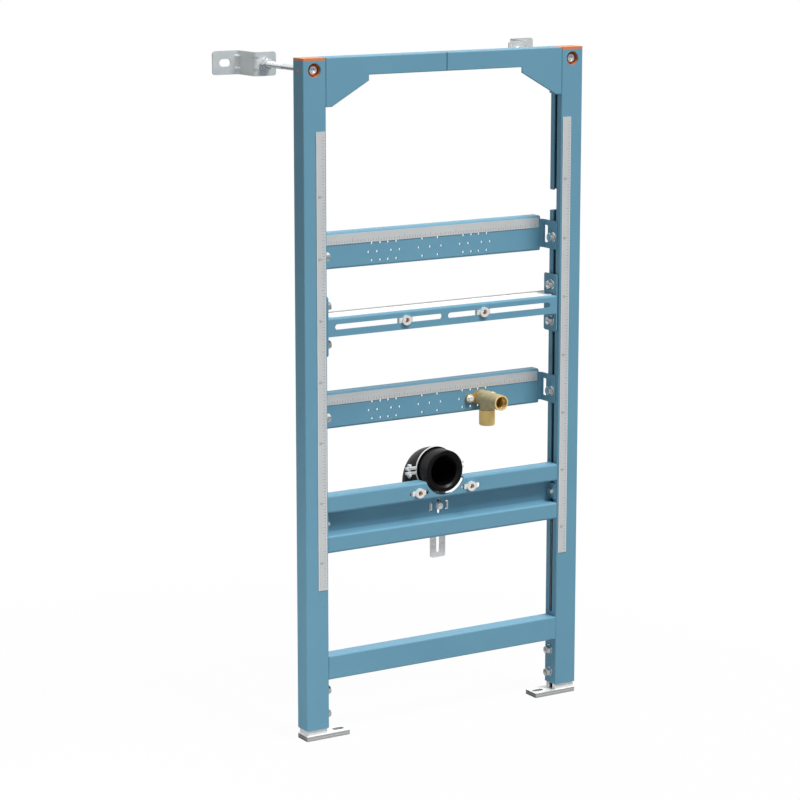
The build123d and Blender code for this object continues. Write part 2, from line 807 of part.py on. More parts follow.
# Pipe support: a slotted strip bolted behind the drain rail's web and bent back under the clamp. Two
# ears are bent forward, and hook through the web's slits as lugs
support_front = drain_web_back
lug_outer = (support_lug_spacing + support_sheet) / 2
lug_front = drain_web_front - support_lug_reach
with BuildPart() as pipe_support:
    with BuildSketch(Plane(origin=(middle, 0, 0), x_dir=(0, 1, 0), z_dir=(1, 0, 0))):
        with BuildLine():
            FilletPolyline(
                (support_front, support_bottom),
                (support_front, support_arm_top),
                (clamp_front + clamp_width, support_arm_top),
                radius=bend_radius,
            )
            offset(amount=support_sheet, side=Side.RIGHT)
        make_face()
    extrude(amount=support_width / 2, both=True)
    fillet(pipe_support.edges().filter_by(Axis.Y).group_by(Axis.Z)[0], support_corner)
    with BuildSketch(Plane.XY.offset(web_middle - support_lug_height / 2)):
        with BuildLine():
            FilletPolyline(
                (middle - lug_outer, lug_front),
                (middle - lug_outer, support_front + support_sheet),
                (middle + lug_outer, support_front + support_sheet),
                (middle + lug_outer, lug_front),
                radius=bend_radius,
            )
            offset(amount=support_sheet, side=Side.RIGHT)
        make_face()
    extrude(amount=support_lug_height)
    with BuildSketch(front_plane(support_front)):
        with Locations((middle, support_bottom + support_slot_edge + support_slot_length / 2)):
            SlotOverall(support_slot_length, support_slot_width, rotation=90)
    extrude(amount=-support_sheet, mode=Mode.SUBTRACT)
save(pipe_support, "pipe_support")

# Water inlet: cast brass elbow with a two-eared wall plate, a ball at the turn, a widened front mouth and
# a turned barrel below
inlet_x = middle + inlet_offset
inlet_height = fitting_rail_bottoms["lower"] + inlet_above_rail
inlet_mouth = rail_plate_front - inlet_length
inlet_barrel_y = rail_plate_front - inlet_barrel_setout
inlet_barrel_bottom = inlet_height - inlet_barrel_drop
with BuildPart() as water_elbow:
    with BuildSketch(front_plane(rail_plate_front)):
        ear_offset = inlet_ear_spacing / 2
        ear_tip = ear_offset + inlet_ear_radius
        with BuildLine():
            Polyline(
                (inlet_x - ear_tip, inlet_height),
                (inlet_x - inlet_flange_shoulder / 2, inlet_height + inlet_flange_height / 2),
                (inlet_x + inlet_flange_shoulder / 2, inlet_height + inlet_flange_height / 2),
                (inlet_x + ear_tip, inlet_height),
                (inlet_x + inlet_flange_shoulder / 2, inlet_height - inlet_flange_height / 2),
                (inlet_x - inlet_flange_shoulder / 2, inlet_height - inlet_flange_height / 2),
                close=True,
            )
        make_face()
        with Locations((inlet_x - ear_offset, inlet_height), (inlet_x + ear_offset, inlet_height)):
            Circle(inlet_ear_radius)
            Circle(inlet_ear_hole / 2, mode=Mode.SUBTRACT)
    extrude(amount=inlet_flange_thickness)
    with BuildSketch(front_plane(rail_plate_front)):
        with Locations((inlet_x, inlet_height)):
            Circle(inlet_front_diameter / 2)
    extrude(amount=inlet_length)
    with BuildSketch(Plane.XY.offset(inlet_barrel_bottom)):
        with Locations((inlet_x, inlet_barrel_y)):
            Circle(inlet_neck_diameter / 2)
    extrude(amount=inlet_barrel_drop)
    with BuildSketch(Plane.XY.offset(inlet_barrel_bottom)):
        with Locations((inlet_x, inlet_barrel_y)):
            Circle(inlet_barrel_diameter / 2)
    extrude(amount=inlet_barrel_length)
    with Locations((inlet_x, inlet_barrel_y, inlet_height)):
        Sphere(inlet_body_radius)
    with BuildSketch(front_plane(inlet_mouth)):
        with Locations((inlet_x, inlet_height)):
            Circle(inlet_mouth_bore / 2)
    extrude(amount=-inlet_mouth_depth, mode=Mode.SUBTRACT)
    with BuildSketch(front_plane(inlet_mouth)):
        with Locations((inlet_x, inlet_height)):
            Circle(inlet_front_bore / 2)
    extrude(amount=-inlet_front_depth, mode=Mode.SUBTRACT)
    with BuildSketch(front_plane(inlet_mouth)):
        with Locations((inlet_x, inlet_height)):
            Circle(inlet_waterway / 2)
    extrude(amount=-(inlet_length - inlet_barrel_setout), mode=Mode.SUBTRACT)
    with BuildSketch(Plane.XY.offset(inlet_barrel_bottom)):
        with Locations((inlet_x, inlet_barrel_y)):
            Circle(inlet_barrel_bore / 2)
    extrude(amount=inlet_barrel_depth, mode=Mode.SUBTRACT)
    with BuildSketch(Plane.XY.offset(inlet_barrel_bottom)):
        with Locations((inlet_x, inlet_barrel_y)):
            Circle(inlet_waterway / 2)
    extrude(amount=inlet_barrel_drop, mode=Mode.SUBTRACT)
    barrel_edges = water_elbow.edges().filter_by(GeomType.CIRCLE).group_by(Axis.Z)[0]
    chamfer(barrel_edges.sort_by(SortBy.RADIUS)[-1], inlet_edge)
save(water_elbow, "water_elbow")

# Bottom rail: box section welded between the posts
with BuildPart() as bottom_rail:
    with BuildSketch(Plane(origin=(left_inner, 0, 0), x_dir=(0, 1, 0), z_dir=(1, 0, 0))):
        with Locations((front + bottom_rail_depth / 2, bottom_rail_bottom + bottom_rail_height / 2)):
            RectangleRounded(bottom_rail_depth, bottom_rail_height, post_corner)
            Rectangle(
                bottom_rail_depth - 2 * post_wall,
                bottom_rail_height - 2 * post_wall,
                mode=Mode.SUBTRACT,
            )
    extrude(amount=clear_width)
save(bottom_rail, "bottom_rail")
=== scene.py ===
import json

import bpy
import numpy as np
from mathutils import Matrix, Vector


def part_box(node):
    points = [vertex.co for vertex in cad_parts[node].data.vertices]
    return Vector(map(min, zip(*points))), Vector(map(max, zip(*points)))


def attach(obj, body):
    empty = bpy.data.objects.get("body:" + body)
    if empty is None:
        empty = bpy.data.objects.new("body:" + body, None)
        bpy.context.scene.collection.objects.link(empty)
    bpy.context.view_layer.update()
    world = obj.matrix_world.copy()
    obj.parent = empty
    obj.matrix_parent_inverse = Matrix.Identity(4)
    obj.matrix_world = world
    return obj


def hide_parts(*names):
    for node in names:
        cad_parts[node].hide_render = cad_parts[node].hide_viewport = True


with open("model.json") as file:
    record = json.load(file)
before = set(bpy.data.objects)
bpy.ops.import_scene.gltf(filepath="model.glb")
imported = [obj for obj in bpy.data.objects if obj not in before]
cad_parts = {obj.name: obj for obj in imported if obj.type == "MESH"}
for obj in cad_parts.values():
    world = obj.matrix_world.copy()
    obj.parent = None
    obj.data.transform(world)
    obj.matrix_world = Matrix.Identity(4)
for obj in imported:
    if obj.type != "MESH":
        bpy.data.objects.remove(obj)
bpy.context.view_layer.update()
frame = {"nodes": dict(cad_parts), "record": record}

# Feet
# Each foot is a floor plate with a slotted box leg welded to it, cut from steel and zinc plated afterwards.
# The leg slides in the post, and the plate is bolted to the floor through its slot.

# Sizes are in millimetres, and meshes and shaders in metres.
MM = 0.001


def linear(hex_colour):
    """sRGB hex value as linear red, green, blue and alpha, by the sRGB curve."""
    channels = np.array([int(hex_colour[place:place + 2], 16) for place in (1, 3, 5)]) / 255
    curve = np.where(channels <= 0.04045, channels / 12.92, ((channels + 0.055) / 1.055) ** 2.4)
    return (*curve.tolist(), 1.0)


def add_node(material, kind, settings=None, values=None, links=None):
    """Add one shader node with its settings, its fixed socket values and the sockets that feed it."""
    node = material.node_tree.nodes.new(kind)
    for name, value in (settings or {}).items():
        setattr(node, name, value)
    for socket, value in (values or {}).items():
        node.inputs[socket].default_value = value
    for socket, source in (links or {}).items():
        material.node_tree.links.new(source, node.inputs[socket])
    return node


def start_finish(name):
    """New empty material and the object coordinates that its patterns read."""
    material = bpy.data.materials.new(name)
    material.use_nodes = True
    material.node_tree.nodes.clear()
    return material, add_node(material, "ShaderNodeTexCoord").outputs["Object"]


def end_finish(material, values, links):
    """Close a material: the surface shader with its constants on its own sockets, and the output."""
    shader = add_node(material, "ShaderNodeBsdfPrincipled", None, values, links)
    add_node(material, "ShaderNodeOutputMaterial", None, None, {"Surface": shader.outputs["BSDF"]})
    return material


def grained_finish(name, tints, values, drift_size, roughness, grain_size, grain_depth):
    """A finish whose colour and roughness drift between two ends in clouds of one size, over a relief of
    another size and depth, drawn coarser than the real grain so that it shows close up. The values are the
    surface shader's other constants."""
    material, place = start_finish(name)
    drift = add_node(
        material, "ShaderNodeTexNoise", None,
        {"Scale": 1 / (drift_size * MM), "Detail": 4}, {"Vector": place},
    )
    tint = add_node(
        material, "ShaderNodeMixRGB", None,
        {"Color1": linear(tints[0]), "Color2": linear(tints[1])}, {"Fac": drift.outputs["Fac"]},
    )
    rough = add_node(
        material, "ShaderNodeMapRange", None,
        {"To Min": roughness[0], "To Max": roughness[1]}, {"Value": drift.outputs["Fac"]},
    )
    grain = add_node(
        material, "ShaderNodeTexNoise", None,
        {"Scale": 1 / (grain_size * MM), "Detail": 2}, {"Vector": place},
    )
    relief = add_node(
        material, "ShaderNodeBump", None,
        {"Strength": 0.3, "Distance": grain_depth * MM}, {"Height": grain.outputs["Fac"]},
    )
    links = {
        "Base Color": tint.outputs["Color"],
        "Roughness": rough.outputs["Result"],
        "Normal": relief.outputs["Normal"],
    }
    return end_finish(material, values, links)


def corners(node):
    """Lowest and highest corner of a CAD node, in millimetres."""
    low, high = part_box(node)
    return np.array(low) / MM, np.array(high) / MM


def dress(finish, *names):
    """Give CAD nodes a finish."""
    for name in names:
        frame["nodes"][name].material_slots[0].material = finish


# Bright zinc plating on rolled steel: a pale, slightly cloudy metal with a soft shine. Its passivated skin
# scatters part of the light, so it isn't a full mirror.
zinc = grained_finish(
    "bright_zinc_plating", ("#D0D5D6", "#E1E5E6"), {"Metallic": 0.45},
    drift_size=14, roughness=(0.26, 0.46), grain_size=0.9, grain_depth=0.03,
)
plate_thickness = 8
mid_line_width = 1.4
leg_bore = (33, 23)
edge_margin = 0.2
face_margin = 0.1
post_axes = [np.mean(corners(f"{hand}_post"), axis=0)[0] for hand in ("left", "right")]
frame_middle = np.mean(post_axes)


def sheared_plate():
    """Bright zinc plating on the feet. The plates' side faces are darker and rougher than their tops, with
    a paler line half way up. Their ends along X are darker still than their long edges, which is painted
    shade, and the inside of the legs is painted near black, which is painted shade too."""
    cloud_size = 14
    plate_ends = np.abs(np.array(corners("left_foot"))[:, 0] - frame_middle)
    material, place = start_finish("zinc_on_sheared_plate")
    cloud = add_node(
        material, "ShaderNodeTexNoise", None,
        {"Scale": 1 / (cloud_size * MM), "Detail": 4}, {"Vector": place},
    )
    plating = add_node(
        material, "ShaderNodeMixRGB", None,
        {"Color1": linear("#E4E6E6"), "Color2": linear("#F4F5F5")}, {"Fac": cloud.outputs["Fac"]},
    )
    axes = add_node(material, "ShaderNodeSeparateXYZ", None, None, {"Vector": place})
    side = add_node(
        material, "ShaderNodeMath", {"operation": "LESS_THAN"},
        {1: (plate_thickness - edge_margin) * MM}, {0: axes.outputs["Z"]},
    )
    line = add_node(
        material, "ShaderNodeMath", {"operation": "COMPARE"},
        {1: plate_thickness / 2 * MM, 2: mid_line_width / 2 * MM}, {0: axes.outputs["Z"]},
    )
    offset = add_node(
        material, "ShaderNodeMath", {"operation": "SUBTRACT"},
        {1: frame_middle * MM}, {0: axes.outputs["X"]},
    )
    distance = add_node(
        material, "ShaderNodeMath", {"operation": "ABSOLUTE"}, None, {0: offset.outputs["Value"]}
    )
    between_ends = add_node(
        material, "ShaderNodeMath", {"operation": "COMPARE"},
        {1: np.mean(plate_ends) * MM, 2: (np.ptp(plate_ends) / 2 - face_margin) * MM},
        {0: distance.outputs["Value"]},
    )
    # The plate's ends along X are painted darker than its long edges: painted shade.
    shaded_plate_ends = add_node(
        material, "ShaderNodeMixRGB", None,
        {"Color1": linear("#767777"), "Color2": linear("#9C9D9D")}, {"Fac": line.outputs["Value"]},
    )
    long_edge = add_node(
        material, "ShaderNodeMixRGB", None,
        {"Color1": linear("#A9AAAA"), "Color2": linear("#C4C5C5")}, {"Fac": line.outputs["Value"]},
    )
    edge = add_node(
        material, "ShaderNodeMixRGB", None, None,
        {
            "Fac": between_ends.outputs["Value"],
            "Color1": shaded_plate_ends.outputs["Color"], "Color2": long_edge.outputs["Color"],
        },
    )
    tint = add_node(
        material, "ShaderNodeMixRGB", None, None,
        {"Fac": side.outputs["Value"], "Color1": plating.outputs["Color"], "Color2": edge.outputs["Color"]},
    )
    # Inside the legs' bore the colour is near black: painted shade where the leg sits dark in the post.
    inside_x = add_node(
        material, "ShaderNodeMath", {"operation": "COMPARE"},
        {1: (post_axes[1] - frame_middle) * MM, 2: (leg_bore[0] / 2 + face_margin) * MM},
        {0: distance.outputs["Value"]},
    )
    inside_y = add_node(
        material, "ShaderNodeMath", {"operation": "COMPARE"},
        {1: 0, 2: (leg_bore[1] / 2 + face_margin) * MM}, {0: axes.outputs["Y"]},
    )
    inside = add_node(
        material, "ShaderNodeMath", {"operation": "MULTIPLY"}, None,
        {0: inside_x.outputs["Value"], 1: inside_y.outputs["Value"]},
    )
    tint = add_node(
        material, "ShaderNodeMixRGB", None, {"Color2": linear("#161719")},
        {"Fac": inside.outputs["Value"], "Color1": tint.outputs["Color"]},
    )
    rough = add_node(
        material, "ShaderNodeMapRange", None,
        {"To Min": 0.35, "To Max": 0.6}, {"Value": side.outputs["Value"]},
    )
    links = {"Base Color": tint.outputs["Color"], "Roughness": rough.outputs["Result"]}
    return end_finish(material, {"Metallic": 0.3}, links)


dress(sheared_plate(), "left_foot", "right_foot")

# Posts
# Two box sections folded from steel sheet and powder coated blue. Each has a long bolt slot in its inner
# face. Near the floor two bolts with washers clamp the leg inside.
clamp_bolt_heights = (38, 78)
crease_angle = 0.6
edge_break = 0.3
crown_height = 1.1
crown_round = 0.2
crown_hexagon_share = 0.35
crown_inset = 0.8
dish_inset = 2.2
dish_slope = 0.6
dish_depth = 0.4
up = (0, 0, 1)


def turned(rows, steps=48):
    """Points turned round the Z axis. A row is a radius, a height and a hexagon share: at each angle the
    radius is the circle's, blended by that share with a hexagon of the same width across its flats."""
    rows = np.array(rows, float)
    angle = np.linspace(0, 2 * np.pi, steps, endpoint=False)
    hexagon = 1 / np.cos(angle % (np.pi / 3) - np.pi / 6)
    radius = rows[:, :1] * (1 + rows[:, 2:] * (hexagon - 1))
    height = np.broadcast_to(rows[:, 1:2], radius.shape)
    return np.stack([radius * np.cos(angle), radius * np.sin(angle), height], axis=-1)


def stand(points, seat, along, side):
    """Turn points so that their Z runs along one direction and their X to one side, then move them so that
    their origin is on the seat."""
    axes = np.array([side, np.cross(along, side), along], float)
    return points @ axes + np.array(seat, float)


def make_piece(name, grids, finish):
    """One mesh on the frame's body from point grids whose columns run round. A grid whose last row repeats
    its first is a ring, and any other gets flat ends. Edges that turn by more than the crease angle stay
    sharp."""
    faces = []
    start = 0
    for grid in grids:
        rows, columns = grid.shape[-3:-1]
        ids = start + np.arange(grid.size // 3).reshape(-1, rows, columns)
        start += ids.size
        ring = np.allclose(grid[..., 0, :, :], grid[..., -1, :, :])
        if ring:
            ids[:, -1] = ids[:, 0]
        else:
            faces += ids[:, 0, ::-1].tolist() + ids[:, -1].tolist()
        beside = np.roll(ids, -1, axis=2)
        quads = np.stack([ids[:, :-1], beside[:, :-1], beside[:, 1:], ids[:, 1:]], axis=-1)
        faces += quads.reshape(-1, 4).tolist()
    points = np.concatenate([grid.reshape(-1, 3) for grid in grids]) * MM
    used = np.unique(np.concatenate([np.array(face) for face in faces]))
    renumber = np.zeros(len(points), int)
    renumber[used] = np.arange(len(used))
    mesh = bpy.data.meshes.new(name)
    mesh.from_pydata(points[used].tolist(), [], [renumber[face].tolist() for face in faces])
    mesh.polygons.foreach_set("use_smooth", np.ones(len(mesh.polygons), bool))
    mesh.set_sharp_from_angle(angle=crease_angle)
    mesh.materials.append(finish)
    piece = bpy.data.objects.new(name, mesh)
    bpy.context.scene.collection.objects.link(piece)
    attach(piece, "frame")
    return piece


def hex_bolts(seats, along, side, flats=13, head=8, washer=17, washer_thickness=2):
    """Hex heads on washers, one on each seat. The head's rows rise up its flats, its crown turns from a
    hexagon to a circle, which leaves the chamfered corners, and its top is dished."""
    flat = flats / 2
    rim = washer / 2
    top = washer_thickness + head
    washer_rows = [
        (flat, 0, 0),
        (rim, 0, 0),
        (rim, washer_thickness - edge_break, 0),
        (rim - edge_break, washer_thickness, 0),
    ]
    head_rows = [
        (flat - edge_break, washer_thickness, 1),
        (flat, washer_thickness + edge_break, 1),
        (flat, top - crown_height, 1),
        (flat - crown_round, top - crown_round, crown_hexagon_share),
        (flat - crown_inset, top, 0),
        (flat - dish_inset, top, 0),
        (flat - dish_inset - dish_slope, top - dish_depth, 0),
    ]
    return [stand(turned(rows), seat, along, side) for seat in seats for rows in (washer_rows, head_rows)]


# Bright-dipped zinc on pressed bolt heads: smoother than the sheet, so it mirrors more of the room.
bolt_zinc = grained_finish(
    "bright_dipped_zinc", ("#D2D6D7", "#E6E9EA"), {"Metallic": 0.95},
    drift_size=6, roughness=(0.14, 0.22), grain_size=0.6, grain_depth=0.004,
)
# Baked polyester powder on steel: an even satin blue with a faint orange peel, and only a weak sheen.
powder_blue = grained_finish(
    "blue_powder_coat", ("#6596AE", "#6C9EB5"), {"IOR": 1.5, "Specular IOR Level": 0.25},
    drift_size=90, roughness=(0.42, 0.54), grain_size=1.6, grain_depth=0.05,
)
dress(powder_blue, "left_post", "right_post")
# Each post's inner face: its place along X, and the way along X that leads inwards.
post_faces = {"left": (corners("left_post")[1][0], 1), "right": (corners("right_post")[0][0], -1)}
for hand, (inner_x, inward) in post_faces.items():
    seats = [(inner_x, 0, height) for height in clamp_bolt_heights]
    bolts = hex_bolts(seats, (inward, 0, 0), up)
    make_piece(f"{hand}_leg_clamp_bolts", bolts, bolt_zinc)

# Post caps
# Moulded plugs of orange ABS that close the posts' upper ends. Each one guides a wall rod, and a small clip
# in the post's outer side holds it. The mould leaves a fine spark grain and a satin surface.
cap_orange = grained_finish(
    "orange_abs", ("#CC7440", "#D88654"), {"IOR": 1.53},
    drift_size=12, roughness=(0.36, 0.46), grain_size=0.5, grain_depth=0.03,
)
dress(cap_orange, "left_post_cap", "right_post_cap")

# Top rail
# Two halves pressed from steel sheet with their corner gussets, joined to the posts and coated like them.
# They meet in the middle.
dress(powder_blue, "left_top_rail", "right_top_rail")

# Height scales
# Thin drawn strips of satin anodised aluminium on the fronts of the posts, with a bead along each edge
# that is painted paler, a painted highlight. Their print is a grey graduation with plain numbers, in
# centimetres above the floor.
tick_pitch = 5
tick_width = 0.6
tick_edge_gap = 1.6
long_tick_steps = 10
middle_tick_steps = 2
post_tick_reaches = (6.0, 4.5, 3.0)
ink_thickness = 0.1
bead_width = 0.9
bead_height = 0.35
centimetre = 10
number_steps = 20
number_share = 1 / 3
digit_width = 1.7
digit_gap = 1.1
stroke_width = 0.5
strokes = {
    "a": ((0, 2), (1, 2)), "b": ((1, 1), (1, 2)), "c": ((1, 0), (1, 1)), "d": ((0, 0), (1, 0)),
    "e": ((0, 0), (0, 1)), "f": ((0, 1), (0, 2)), "g": ((0, 1), (1, 1)),
}
digit_strokes = {
    "0": "abcdef", "1": "bc", "2": "abged", "3": "abgcd", "4": "fgbc",
    "5": "afgcd", "6": "afgedc", "7": "abc", "8": "abcdefg", "9": "abcdfg",
}


def bars(low, high):
    """Upright boxes between pairs of corners: a rectangle of four points carried from bottom to top."""
    low, high = np.atleast_2d(low), np.atleast_2d(high)
    share = np.array([[(0, 0), (1, 0), (1, 1), (0, 1)]] * 2, float)
    rise = np.array([[0.0] * 4, [1.0] * 4])[..., None]
    weights = np.concatenate([share, rise], axis=-1)
    return low[:, None, None, :] + weights * (high - low)[:, None, None, :]


def tick_reach(steps, reaches):
    """How far each tick reaches: the first reach at each tenth step, the second at the other even steps and
    the third at the odd ones."""
    inner = np.where(steps % middle_tick_steps == 0, reaches[1], reaches[2])
    return np.where(steps % long_tick_steps == 0, reaches[0], inner)


def printed_number(number, centre_x, foot_z, face_y):
    """Boxes of ink for a plain number: each digit is drawn with up to seven straight strokes on a grid of
    one digit's width by two."""
    digits = str(number)
    left = centre_x - (len(digits) * (digit_width + digit_gap) - digit_gap) / 2
    ends = np.array(
        [
            [(left + place * (digit_width + digit_gap) + x * digit_width, foot_z + z * digit_width)
             for x, z in strokes[stroke]]
            for place, digit in enumerate(digits)
            for stroke in digit_strokes[digit]
        ]
    )
    flat_low = ends.min(axis=1) - stroke_width / 2
    flat_high = ends.max(axis=1) + stroke_width / 2
    low = np.insert(flat_low, 1, face_y - ink_thickness, axis=1)
    high = np.insert(flat_high, 1, face_y, axis=1)
    return bars(low, high)


# Satin anodised aluminium: an even pale grey with a low, soft shine. The beads along its edges are painted
# paler, a painted highlight.
strip_finish = grained_finish(
    "anodised_strip", ("#C9CCCD", "#D6D9DA"), {"Metallic": 0.3},
    drift_size=40, roughness=(0.4, 0.48), grain_size=0.8, grain_depth=0.02,
)
# The beads' paler tint is a painted highlight.
painted_highlight_finish = grained_finish(
    "pale_painted_highlight", ("#EEF0F0", "#F8F9F9"), {"Metallic": 0.3},
    drift_size=40, roughness=(0.3, 0.4), grain_size=0.8, grain_depth=0.02,
)
# Screen-printed grey ink: thin and matt, a little uneven in its cover.
scale_ink = grained_finish(
    "grey_scale_print", ("#8C8988", "#A09D9C"), {"IOR": 1.5},
    drift_size=3, roughness=(0.6, 0.75), grain_size=0.5, grain_depth=0.01,
)
for hand in post_faces:
    strip_low, strip_high = corners(f"{hand}_height_scale")
    dress(strip_finish, f"{hand}_height_scale")
    steps = np.arange(np.ceil(strip_low[2] / tick_pitch) + 1, np.floor(strip_high[2] / tick_pitch))
    heights = steps * tick_pitch
    near = np.full_like(heights, strip_high[0] - tick_edge_gap)
    far = near - tick_reach(steps, post_tick_reaches)
    face = np.full_like(heights, strip_low[1])
    tick_low = np.stack([far, face - ink_thickness, heights - tick_width / 2], axis=1)
    tick_high = np.stack([near, face, heights + tick_width / 2], axis=1)
    number_x = strip_low[0] + (strip_high[0] - strip_low[0]) * number_share
    numbers = [
        printed_number(int(height / centimetre), number_x, height - digit_width, strip_low[1])
        for height in heights[steps % number_steps == 0]
    ]
    make_piece(f"{hand}_height_ticks", [bars(tick_low, tick_high), *numbers], scale_ink)
    bead_places = (strip_low[0], strip_high[0] - bead_width)
    bead_low = [(x, strip_low[1] - bead_height, strip_low[2]) for x in bead_places]
    bead_high = [(x + bead_width, strip_low[1], strip_high[2]) for x in bead_places]
    make_piece(f"{hand}_scale_beads", [bars(bead_low, bead_high)], painted_highlight_finish)

# Fitting rails
# Two perforated channels of folded steel behind the posts, coated blue. Their end tabs are bent forward
# and bolted to the posts' slots, and each has a graduated strip along its upper edge.
rail_sheet = 2.5
tab_bolt_drop = 3
rail_tick_reaches = (7.0, 5.0, 3.5)
for level in ("upper", "lower"):
    dress(powder_blue, f"{level}_fitting_rail")
    dress(strip_finish, f"{level}_rail_scale")
    rail_low, rail_high = corners(f"{level}_fitting_rail")
    tab_height = (rail_low[2] + rail_high[2]) / 2 - tab_bolt_drop
    for hand, (inner_x, inward) in post_faces.items():
        seat = (inner_x + inward * rail_sheet, 0, tab_height)
        bolts = hex_bolts([seat], (inward, 0, 0), up)
        make_piece(f"{hand}_{level}_tab_bolt", bolts, bolt_zinc)
    strip_low, strip_high = corners(f"{level}_rail_scale")
    strip_middle = (strip_low[0] + strip_high[0]) / 2
    half_count = np.floor((strip_high[0] - strip_middle) / tick_pitch) - 1
    steps = np.arange(-half_count, half_count + 1)
    places = strip_middle + steps * tick_pitch
    face = np.full_like(places, strip_low[1])
    near = np.full_like(places, strip_low[2] + tick_edge_gap)
    far = near + tick_reach(steps, rail_tick_reaches)
    tick_low = np.stack([places - tick_width / 2, face - ink_thickness, near], axis=1)
    tick_high = np.stack([places + tick_width / 2, face, far], axis=1)
    make_piece(f"{level}_rail_ticks", [bars(tick_low, tick_high)], scale_ink)

# Fixing bar
# A slotted steel angle, coated blue, that carries the two upper bolts in threaded sleeves. Its end plates
# are bolted to the posts' slots. A pale strip lies on its upper flange, its rear edge turned up and grey.
# The strip is near white, partly its own pale tone and partly painted light on its upward face.
dress(powder_blue, "fixing_bar", "left_bar_bracket", "right_bar_bracket")
# Near white, partly the strip's own pale tone and partly painted light on its upward face.
dress(painted_highlight_finish, "fixing_bar_scale")
lip_width = 0.8
lip_height = 1.8
strip_low, strip_high = corners("fixing_bar_scale")
lip_low = (strip_low[0], strip_high[1] - lip_width, strip_high[2])
lip_high = (strip_high[0], strip_high[1], strip_high[2] + lip_height)
make_piece("fixing_bar_lip", [bars(lip_low, lip_high)], scale_ink)
bracket_bolt_inset = 18
for hand, (_, inward) in post_faces.items():
    plate_low, plate_high = corners(f"{hand}_bar_bracket")
    plate_face = plate_high[0] if inward > 0 else plate_low[0]
    heights = (plate_low[2] + bracket_bolt_inset, plate_high[2] - bracket_bolt_inset)
    seats = [(plate_face, 0, height) for height in heights]
    bolts = hex_bolts(seats, (inward, 0, 0), up)
    make_piece(f"{hand}_bar_bracket_bolts", bolts, bolt_zinc)

# Threaded sleeves
# Turned and zinc-plated steel nuts with a round rim, which slide in the slots of the fixing bar and the
# drain rail. Their threads are cut after plating, so the steel in the bore is bare and brownish.
sleeve_thread_pitch = 1.5
sleeve_thread_depth = 0.45
lining_backing = 0.15
mouth_chamfer = 0.6
thread_steps = 32
thread_rows_per_turn = 6
backward = (0, 1, 0)
rightward = (1, 0, 0)


def screw_thread(radius, length, pitch, depth):
    """A screw thread round the Z axis: the radius falls from its crest to its root and back as a triangle
    wave of the height over the pitch, less the share of the turn."""
    height = np.linspace(0, length, int(length / pitch * thread_rows_per_turn) + 1)[:, None]
    angle = np.linspace(0, 2 * np.pi, thread_steps, endpoint=False)
    phase = (height / pitch - angle / (2 * np.pi)) % 1
    radius = radius - depth * np.abs(2 * phase - 1)
    return np.stack([radius * np.cos(angle), radius * np.sin(angle), height + 0 * radius], axis=-1)


def thread_lining(bore, length, pitch, depth):
    """The thread of a bore as a thin closed tube: a plain cylinder outside, and the screw thread inside."""
    backing = turned([(bore + lining_backing, 0, 0), (bore + lining_backing, length, 0)], thread_steps)
    thread = screw_thread(bore, length, pitch, depth)
    return np.concatenate([backing, thread[::-1], backing[:1]])


# White passivated zinc on turned and stamped small parts: a pale skin with only a weak mirror in it.
screw_zinc = grained_finish(
    "white_zinc_plating", ("#E8EAEA", "#F8F9F9"), {"Metallic": 0.3},
    drift_size=25, roughness=(0.24, 0.32), grain_size=0.6, grain_depth=0.004,
)
# Cut steel, bare and oiled: a brownish grey metal with fine tool marks.
cut_steel = grained_finish(
    "oiled_cut_steel", ("#D4B8A2", "#E6CCB8"), {"Metallic": 0.5},
    drift_size=3, roughness=(0.35, 0.5), grain_size=0.4, grain_depth=0.03,
)
mounts = {mount["name"]: mount for mount in frame["record"]["mounts"]}
for row in ("fixing", "drain"):
    sleeve_bore = mounts[f"{row}_bolts"]["dims"]["hole_r_mm"]
    linings = []
    for hand in post_faces:
        dress(screw_zinc, f"{hand}_{row}_sleeve")
        sleeve_low, sleeve_high = corners(f"{hand}_{row}_sleeve")
        sleeve_x, _, sleeve_z = (sleeve_low + sleeve_high) / 2
        thread_length = sleeve_high[1] - sleeve_low[1] - 2 * mouth_chamfer
        lining = thread_lining(sleeve_bore, thread_length, sleeve_thread_pitch, sleeve_thread_depth)
        seat = (sleeve_x, sleeve_low[1] + mouth_chamfer, sleeve_z)
        linings.append(stand(lining, seat, backward, rightward))
    make_piece(f"{row}_sleeve_threads", linings, cut_steel)

# Drain rail
# A stepped rail of folded steel below the waste, coated blue. Its end tabs are screwed to the posts, and a
# bolt through the slot in its web holds the pipe support behind it.
dress(powder_blue, "drain_rail")
rail_low, rail_high = corners("drain_rail")
web_rise = 48
web_height = rail_low[2] + web_rise
web_front = rail_high[1] - rail_sheet
tab_screw_y = -3
support_sheet = 3
support_bolt_flats = 11
support_nut_height = 5
support_shank_radius = 3
shank_end = 2
nut_chamfer = 0.5
nut_chamfer_height = 0.6
forward = (0, -1, 0)


def hex_nuts(seats, along, side, flats, height):
    """Hex nuts, one on each seat: a hexagon that turns to a circle at both ends."""
    flat = flats / 2
    rows = [
        (flat - nut_chamfer, 0, 0),
        (flat, nut_chamfer_height, 1),
        (flat, height - nut_chamfer_height, 1),
        (flat - nut_chamfer, height, 0),
    ]
    return [stand(turned(rows), seat, along, side) for seat in seats]


for hand, (inner_x, inward) in post_faces.items():
    seat = (inner_x + inward * rail_sheet, tab_screw_y, web_height)
    screws = hex_bolts([seat], (inward, 0, 0), up, flats=10, head=4, washer=14)
    make_piece(f"{hand}_drain_tab_screw", screws, bolt_zinc)
support_back = rail_high[1] + support_sheet
bolt_seat = (frame_middle, web_front, web_height)
nut_seat = (frame_middle, support_back, web_height)
shank_length = support_back + support_nut_height + shank_end - web_front
shank = turned([(support_shank_radius, 0, 0), (support_shank_radius, shank_length, 0)])
support_bolt = hex_bolts(
    [bolt_seat], forward, up, flats=support_bolt_flats, head=4, washer=12.5, washer_thickness=0.7
)
support_bolt.append(stand(shank, bolt_seat, backward, up))
support_bolt += hex_nuts([nut_seat], backward, up, support_bolt_flats, support_nut_height)
make_piece("support_bolt", support_bolt, screw_zinc)

